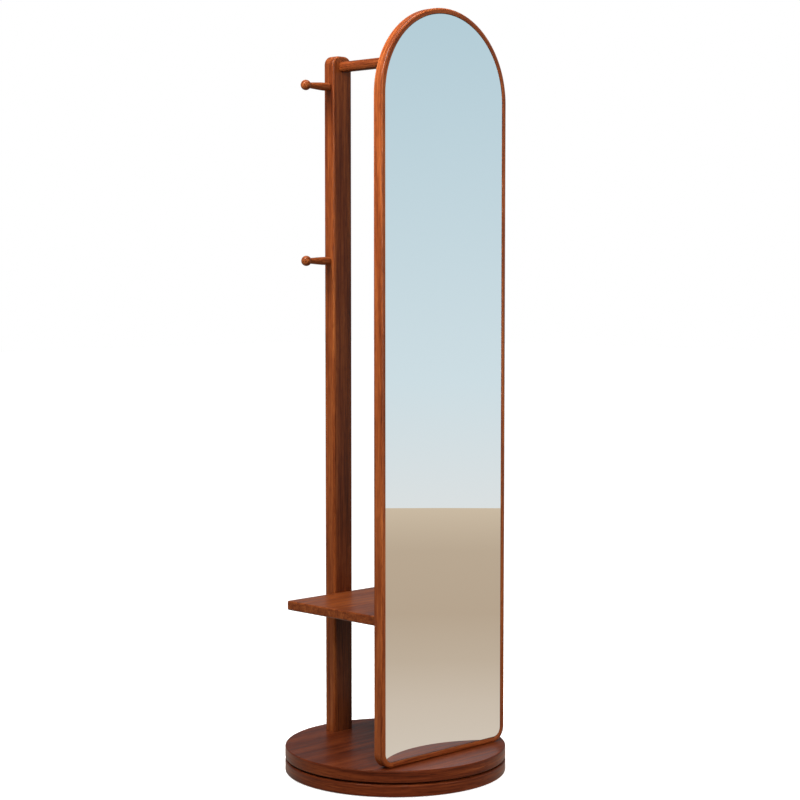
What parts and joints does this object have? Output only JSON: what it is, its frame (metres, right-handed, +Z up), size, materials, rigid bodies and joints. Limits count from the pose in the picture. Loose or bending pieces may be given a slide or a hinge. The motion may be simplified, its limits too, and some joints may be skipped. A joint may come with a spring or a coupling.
{
  "type": "cheval floor mirror",
  "caption": "Tall arched floor mirror standing on a round turntable base, with a post, a hanging rail, a shelf and side pegs behind the glass.",
  "frame": {"origin": "centre of the base's underside, on the floor", "axes": "+Z up; the mirror faces -Y; +X is to the right as seen from in front of the mirror"},
  "size_m": [0.49, 0.49, 1.664],
  "materials": {
    "walnut": "satin reddish-brown stained wood, fine straight grain",
    "dark_walnut": "satin dark reddish-brown stained wood, fine straight grain",
    "board": "brown-faced board",
    "dowel_wood": "bare beech",
    "mirror": "clear silvered glass",
    "steel": "zinc-plated steel",
    "rubber": "matt black",
    "cap_plastic": "satin brown"
  },
  "bodies": {
    "base": {"lower_disc": "dark_walnut", "foot_pad_1": "rubber", "foot_pad_2": "rubber", "foot_pad_3": "rubber", "foot_pad_4": "rubber", "foot_pad_5": "rubber", "foot_pad_6": "rubber", "lower_race": "steel", "lower_race_screw_1": "steel", "lower_race_screw_2": "steel", "lower_race_screw_3": "steel", "lower_race_screw_4": "steel"},
    "ball_cage": {"ball_cage": "steel"},
    "turntable": {"upper_race": "steel", "upper_race_screw_1": "steel", "upper_race_screw_2": "steel", "upper_race_screw_3": "steel", "upper_race_screw_4": "steel", "upper_disc": "dark_walnut", "left_stile": "walnut", "arch_left": "walnut", "right_stile": "walnut", "arch_right": "walnut", "bottom_rail": "walnut", "mirror_glass": "mirror", "back_board": "board", "dowel_corner_left": "dowel_wood", "dowel_spring_left": "dowel_wood", "dowel_corner_right": "dowel_wood", "dowel_spring_right": "dowel_wood", "dowel_crown": "dowel_wood", "post": "walnut", "hanging_rail": "walnut", "shelf": "walnut", "shelf_cleat": "dark_walnut", "peg_upper": "walnut", "peg_lower": "walnut", "mirror_bolt_left": "steel", "post_bolt_left": "steel", "cleat_screw_left": "steel", "shelf_screw_left": "steel", "mirror_bolt_right": "steel", "post_bolt_right": "steel", "cleat_screw_right": "steel", "shelf_screw_right": "steel", "rail_bolt": "steel", "rail_bolt_cap": "cap_plastic", "shelf_left_bolt": "steel", "shelf_left_bolt_cap": "cap_plastic", "shelf_right_bolt": "steel", "shelf_right_bolt_cap": "cap_plastic", "rail_stud": "steel"}
  },
  "joints": [
    {"name": "turntable_spin", "type": "hinge", "parent": "base", "child": "turntable", "pos_m": [0, 0, 0.0305], "axis": [0, 0, 1], "continuous": true},
    {"name": "cage_spin", "type": "hinge", "parent": "base", "child": "ball_cage", "pos_m": [0, 0, 0.0305], "axis": [0, 0, 1], "continuous": true}
  ],
  "couplings": [
    {"joint": "cage_spin", "follows": "turntable_spin", "ratio": 0.5}
  ]
}
